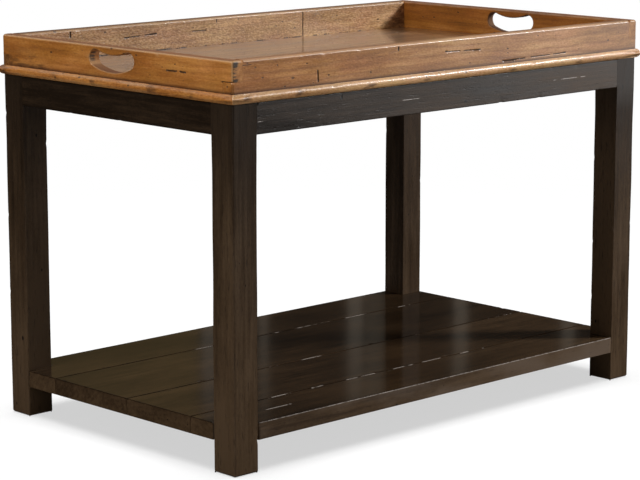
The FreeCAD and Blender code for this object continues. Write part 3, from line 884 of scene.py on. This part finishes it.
BEAD_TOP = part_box("bead_front")[1].z
FLOOR_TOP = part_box("tray_floor")[1].z
LAP_HEIGHT = (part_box("tray_end_left")[0].z + RIM_TOP) / 2
RAIL_SPLITS = {
    "front": [
        ((-0.013, 0.0437), (0.020, 0.0425), 0.0011, 0.0012),
        ((0.028, 0.0420), (0.067, 0.0411), 0.0011, 0.0012),
        ((0.118, 0.0190), (0.172, 0.0198), 0.0011, 0.0012),
        ((0.186, 0.0203), (0.232, 0.0208), 0.0011, 0.0012),
        ((0.240, 0.0211), (0.271, 0.0216), 0.0011, 0.0012),
        ((-0.2836, 0.0190), (-0.2850, 0.0370), 0.0016, 0.0014),
        ((-0.1165, 0.0530), (-0.1160, 0.0590), 0.0018, 0.0014),
    ],
    "back": [
        ((0.1788, 0.0175), (0.1788, 0.0600), 0.0016, 0.0018),
        ((-0.222, 0.0412), (-0.188, 0.0425), 0.0012, 0.0012),
        ((-0.178, 0.0430), (-0.152, 0.0440), 0.0014, 0.0014),
        ((-0.075, 0.0425), (-0.045, 0.0420), 0.0012, 0.0012),
        ((-0.3326, 0.0500), (-0.3326, 0.0600), 0.0020, 0.0016),
        ((-0.0211, 0.0540), (-0.0211, 0.0605), 0.0020, 0.0016),
    ],
}
END_SPLITS = {"left": [((-0.151, 0.0385), (-0.126, 0.0380), 0.0013, 0.0013),
                       ((-0.170, 0.0380), (-0.156, 0.0385), 0.0013, 0.0013)]}
BEAD_PATCHES = {
    "front": rows("X", "Z", (-0.430, 0.5550, 0.010, 0.006, 0.7), (-0.326, 0.5550, 0.010, 0.009, 0.7),
                  (-0.178, 0.5525, 0.018, 0.005, 0.7), (-0.060, 0.5510, 0.012, 0.004, 0.6),
                  (0.140, 0.5510, 0.016, 0.004, 0.6), (0.300, 0.5515, 0.012, 0.004, 0.6)),
    "left": rows("Y", "Z", (0.135, 0.5560, 0.010, 0.008, 0.7), (0.043, 0.5540, 0.010, 0.007, 0.7),
                 (-0.094, 0.5550, 0.016, 0.009, 0.7), (0.262, 0.5540, 0.020, 0.012, 0.6),
                 (-0.185, 0.5530, 0.010, 0.005, 0.6)),
}
END_SMUDGES = rows("Y", "Z", (0.205, 0.5655, 0.080, 0.0050, 0.65), (0.236, 0.5730, 0.040, 0.0045, 0.5),
                   (0.225, 0.5850, 0.060, 0.0200, 0.25))
# Painted shade in the crease above the bead: a dark line at the foot of the walls, and a softer darkening
# higher up
WALL_FOOT_SHADE = [(BEAD_TOP, BEAD_TOP + 0.005, 0.90), (BEAD_TOP, BEAD_TOP + 0.016, 0.22)]
FOOT_DIRT = rows("X", "Z", (-0.34, 0.02, FLOOR_TOP + 0.0006, 0.0010, 0.50),
                 (0.00, 0.34, FLOOR_TOP + 0.0006, 0.0009, 0.40))
# Painted shadow: dark ragged patches in the back rail's right corner, where the right end shades it
BACK_CORNER_SHADOW = rows("X", "Z", (0.426, 0.578, 0.030, 0.034, 0.60), (0.405, 0.568, 0.040, 0.016, 0.45))
LAP_STREAKS = rows("X", "Z", (-0.440, -0.412, 0.6020, 0.0007, 0.80), (-0.440, -0.424, 0.5975, 0.0006, 0.60))
LAP_LINE = rows("Y", "Z", (-0.2710, -0.2440, LAP_HEIGHT, 0.0014, 1.2))
RAIL_LOOKS = {
    "front": {"palette": RAIL_PALETTE, "tone": 0.56, "warm": (0.15, -0.40, 0.75), "dim": (0.10, 0.38, -0.12),
              "rough_sawn": 0.32, "figure": 0.40, "foot_shade": WALL_FOOT_SHADE, "dirt": LAP_STREAKS, "rim_dark": 0.15},
    "back": {"palette": BACK_PALETTE, "tone": 0.58, "rough_sawn": 0.65, "dirt": FOOT_DIRT,
             "smudges_and_shade": BACK_CORNER_SHADOW, "rim_dark": 0.75},
}
for number, side in enumerate(("front", "back")):
    node = "tray_rail_" + side
    wax = waxed_wood("honey_" + node, "X", (0.45 * number, 0.21 + 0.1 * number, 0.05), ring_width=0.012,
                     arris_highlight=0.45, **RAIL_LOOKS[side])
    worn_board(node, "X", wax, seed=16.3 + number, splits=RAIL_SPLITS[side], crowned=RIM_DROP,
               holds=(RIM_HOLD,))
    node = "bead_" + side
    wax = waxed_wood("honey_" + node, "X", (0.35 * number, 0.31 + 0.1 * number, 0.15), RAIL_PALETTE,
                     tone=0.72, rough_sawn=0.5, gloss=0.3, arris_highlight=0.0,
                     smudges_and_shade=BEAD_PATCHES.get(side, ()))
    worn_board(node, "X", wax, seed=20.3 + number, holds=())

# The middles of the hand holes
MOUTHS = {"left": 0.0, "right": -0.006}
END_LOOKS = {
    "left": {"tone": 0.55, "end_palette": LAP_PALETTE, "foot_shade": WALL_FOOT_SHADE, "dirt": LAP_LINE,
             "smudges_and_shade": END_SMUDGES, "outward": LEFTWARD, "lap_corner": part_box("tray_end_left")[0].x,
             "hole": (MOUTHS["left"], 0.25)},
    "right": {"tone": 0.42, "end_palette": RAIL_PALETTE, "outward": RIGHTWARD,
              "hole": (MOUTHS["right"], 0.80)},
}
for number, side in enumerate(("left", "right")):
    node = "tray_end_" + side
    wax = waxed_wood("honey_" + node, "Y", (0.45 * number, 0.27 + 0.1 * number, 0.09), rough_sawn=0.25,
                     gloss=0.12, rim_dark=0.75, arris_highlight=0.5, **END_LOOKS[side])
    worn_board(node, "Y", wax, seed=24.3 + number, splits=END_SPLITS.get(side, ()),
               split_side="-X", crowned=RIM_DROP, holds=(RIM_HOLD,),
               flared=MOUTHS["right"] if side == "right" else None)
    node = "bead_" + side
    wax = waxed_wood("honey_" + node, "Y", (0.25 * number, 0.41 + 0.1 * number, 0.25), tone=0.59,
                     rough_sawn=0.5, arris_highlight=0.0, smudges_and_shade=BEAD_PATCHES.get(side, ()))
    worn_board(node, "Y", wax, seed=28.3 + number, holds=())

wax = waxed_wood("honey_tray_floor", "X", (0.9, 0.6, 0.1), BACK_PALETTE, ring_width=0.014, tone=0.41,
                 rough_sawn=0.15, gloss=0.8)
worn_board("tray_floor", "X", wax, rub=0.0002, seed=33.1, cell=FLOOR_CELL, knocks=0)

# Hidden pieces keep their shapes

bare_along_x = planed_wood("bare_wood_along_x", "X", (0.2, 0.4, 0.6))
bare_along_y = planed_wood("bare_wood_along_y", "Y", (0.3, 0.1, 0.5))
zinc = zinc_plate("zinc_steel")
for subpart in frame["record"]["subparts"]:
    piece = frame["nodes"][subpart["node"]]
    if subpart["material_slot"] == "hidden_wood":
        lies_along_x = subpart["node"].startswith("corner_block")
        piece.data.materials[0] = bare_along_x if lies_along_x else bare_along_y
    if subpart["material_slot"] == "screw_steel":
        piece.data.materials[0] = zinc


# The studio

ROUND_SEGMENTS = 96
FLOOR_RADIUS = 12.0
FLOOR_GREY = (0.32, 0.32, 0.32, 1)
FLOOR_GLOW = 0.61
# The distances between which the floor turns white
WHITE_FROM, WHITE_TO = 0.9, 2.2
SKY_LIGHT = 0.15
# The ring of cloth, and how far the cards stand in front of it
CLOTH_RADIUS, CLOTH_HEIGHT, CARD_GAP = 3.0, 2.4, 0.1
# Where soft pale bands cross the polished shelf in the picture, and how wide their cards are
BAND_PIXELS = ((207, 0.045), (262, 0.025), (356, 0.042), (464, 0.038), (574, 0.035))
DIM_BAND = (376, 0.050)
WOODEN_BAND = (76, 0.68)


def seen_directly(tree):
    """One for rays that show the background: from the camera, or by a reflection or a clear piece."""
    path = add(tree, "LightPath")
    seen = reckon("ADD", path["Is Camera Ray"], path["Is Glossy Ray"], clamp=True)
    return reckon("ADD", seen, path["Is Transmission Ray"], clamp=True)


def stage_piece(name, bm, material):
    piece = new_piece(name, bm, material)
    return piece


def show(tree, surface):
    """Makes an output the material's surface."""
    plug(tree.nodes["Material Output"].inputs["Surface"], surface)


def make_floor():
    """A floor that takes soft shadows near the table and is white further away."""
    material, tree, shader = new_material("white_floor")
    seen = seen_directly(tree)
    plug_all(shader, Base_Color=FLOOR_GREY, Roughness=0.9, Specular_IOR_Level=0.0, Emission_Color=WHITE,
             Emission_Strength=seen * FLOOR_GLOW)
    point = add(tree, "TexCoord")["Object"]
    away = add(tree, "VectorMath", {"operation": "LENGTH"}, [point])["Value"]
    far = away.spread(WHITE_FROM, WHITE_TO) * seen
    near = Value(tree, shader.outputs["BSDF"])
    white = add(tree, "Emission", Color=WHITE, Strength=1.0)["Emission"]
    show(tree, add(tree, "MixShader", row=(far, near, white))["Shader"])
    bm = bmesh.new()
    bmesh.ops.create_circle(bm, cap_ends=True, segments=ROUND_SEGMENTS, radius=FLOOR_RADIUS)
    return stage_piece("studio_floor", bm, material)


def glowing(name, colour, low, high, foot, head, way=UPWARD):
    """A card's surface: its glow goes from low to high between foot and head along a way."""
    material, tree, _ = new_material(name)
    strength = dot(add(tree, "TexCoord")["Object"], way).spread(foot, head, low, high)
    show(tree, add(tree, "Emission", Color=colour, Strength=strength)["Emission"])
    return material


def only_reflected(piece):
    """A studio card that shows in reflections alone, and neither lights nor shades anything."""
    for kind in ("camera", "diffuse", "shadow", "transmission", "volume_scatter"):
        setattr(piece, "visible_" + kind, False)


def make_dark_ring():
    """Cloth round the table and under it, dark low down, which keeps the polished shelf dark."""
    bm = bmesh.new()
    bmesh.ops.create_cone(bm, cap_ends=False, segments=ROUND_SEGMENTS, radius1=CLOTH_RADIUS,
                          radius2=CLOTH_RADIUS, depth=CLOTH_HEIGHT)
    bmesh.ops.translate(bm, vec=(0, 0, CLOTH_HEIGHT / 2), verts=bm.verts)
    rim = [edge for edge in bm.edges if edge.is_boundary and edge.verts[0].co.z < CLOTH_HEIGHT / 2]
    bmesh.ops.contextual_create(bm, geom=rim)
    bmesh.ops.translate(bm, vec=(0, 0, 2 * MM), verts=bm.verts)
    cloth = glowing("dark_cloth", (1, 0.84, 0.70, 1), low=0.036, high=0.50, foot=1.25, head=1.75)
    only_reflected(stage_piece("dark_cloth", bm, cloth))


def card(name, material, spot, width, foot=0.1, head=0.95):
    """An upright card at a spot on the floor, facing the table."""
    bm = bmesh.new()
    bmesh.ops.create_grid(bm, x_segments=1, y_segments=1, size=0.5)
    bmesh.ops.scale(bm, vec=(width, head - foot, 1), verts=bm.verts)
    turn = Euler((math.pi / 2, 0, math.atan2(spot[0], -spot[1]))).to_matrix()
    bmesh.ops.rotate(bm, matrix=turn, verts=bm.verts)
    bmesh.ops.translate(bm, vec=(spot[0], spot[1], (foot + head) / 2), verts=bm.verts)
    only_reflected(stage_piece(name, bm, material))


def behind_pixel(pixel_x):
    """The spot on the ring of cards that lies behind a column of the picture."""
    heading = HEADING + math.atan((pixel_x - PICTURE_WIDTH_PIXELS / 2) / FOCAL_PIXELS)
    way = Vector((math.sin(heading), math.cos(heading)))
    nearest = -EYE.xy.dot(way)
    reach = (CLOTH_RADIUS - CARD_GAP) ** 2 - EYE.xy.length_squared + nearest ** 2
    return EYE.xy + way * (nearest + math.sqrt(reach))


def make_cards():
    make_dark_ring()
    pale = glowing("pale_card", (1, 0.88, 0.72, 1), low=0.300, high=0.250, foot=0.52, head=0.85)
    dim = glowing("dim_card", (1, 0.88, 0.70, 1), low=0.120, high=0.200, foot=0.52, head=0.95)
    card("dim_strip", dim, behind_pixel(DIM_BAND[0]), DIM_BAND[1])
    for number, (pixel_x, width) in enumerate(BAND_PIXELS):
        card("pale_strip_%d" % number, pale, behind_pixel(pixel_x), width)
    wooden = glowing("wooden_card", (1, 0.74, 0.35, 1), low=0.185, high=0.190, foot=0.0, head=1.1)
    card("wooden_card", wooden, behind_pixel(WOODEN_BAND[0]), WOODEN_BAND[1], head=1.05)
    white = glowing("white_card", WHITE, low=0.05, high=2.7, foot=-0.50, head=0.40,
                    way=Vector((0.728, 0.686, 0)))
    card("white_card", white, (1.65, -1.75), width=1.7, foot=0.12, head=1.9)


def make_world():
    world = bpy.data.worlds.new("studio")
    world.use_nodes = True
    tree = world.node_tree
    strength = seen_directly(tree).spread(0.0, 1.0, SKY_LIGHT, 1.0)
    plug_all(tree.nodes["Background"], Color=WHITE, Strength=strength)
    bpy.context.scene.world = world


def hang(name, kind, power, lit):
    """A new light that falls on one collection of things."""
    light = bpy.data.lights.new(name, kind)
    light.energy = power
    holder = bpy.data.objects.new(name, light)
    holder.light_linking.receiver_collection = lit
    bpy.context.scene.collection.objects.link(holder)
    return holder


def soft_box(name, place, aim, size, power, lit):
    """A square lamp that looks at an aim."""
    holder = hang(name, "AREA", power, lit)
    holder.data.shape = "SQUARE"
    holder.data.size = size
    holder.location = place
    holder.rotation_euler = (Vector(aim) - Vector(place)).to_track_quat("-Z", "Y").to_euler()


def sun(name, power, angle, lit, shading):
    """Soft light from above that only one collection of things shades."""
    holder = hang(name, "SUN", power, lit)
    holder.data.angle = angle
    holder.light_linking.blocker_collection = shading


def gather(name, things):
    collection = bpy.data.collections.new(name)
    for thing in things:
        collection.objects.link(thing)
    return collection


def make_camera():
    lens = bpy.data.cameras.new("camera")
    lens.sensor_fit = "HORIZONTAL"
    lens.sensor_width = SENSOR_WIDTH
    lens.lens = FOCAL_PIXELS * SENSOR_WIDTH / PICTURE_WIDTH_PIXELS
    camera = bpy.data.objects.new("camera", lens)
    camera.location = EYE
    camera.rotation_euler = Euler((math.pi / 2 - TILT, 0, -HEADING))
    bpy.context.scene.collection.objects.link(camera)
    bpy.context.scene.camera = camera


TRAY_INSIDE = ("worn_tray_floor", "worn_tray_rail_back")
STANDING = ("worn_leg", "worn_shelf")
table = gather("table", [thing for thing in bpy.context.scene.objects if thing.type == "MESH"])
outside = gather("outside", [thing for thing in table.objects if thing.name not in TRAY_INSIDE])
standing = gather("standing", [thing for thing in table.objects if thing.name.startswith(STANDING)])
floor = gather("floor", [make_floor()])
make_cards()
make_world()
soft_box("key", place=(2.75, -2.1, 2.25), aim=(0, 0, 0.5), size=0.55, power=122, lit=table)
soft_box("left_fill", place=(-2.2, 0.1, 2.1), aim=(0, 0, 0.4), size=1.0, power=32, lit=outside)
sun("over_floor", power=4.0, angle=math.radians(50), lit=floor, shading=standing)
make_camera()
bpy.context.scene.view_settings.view_transform = "Standard"
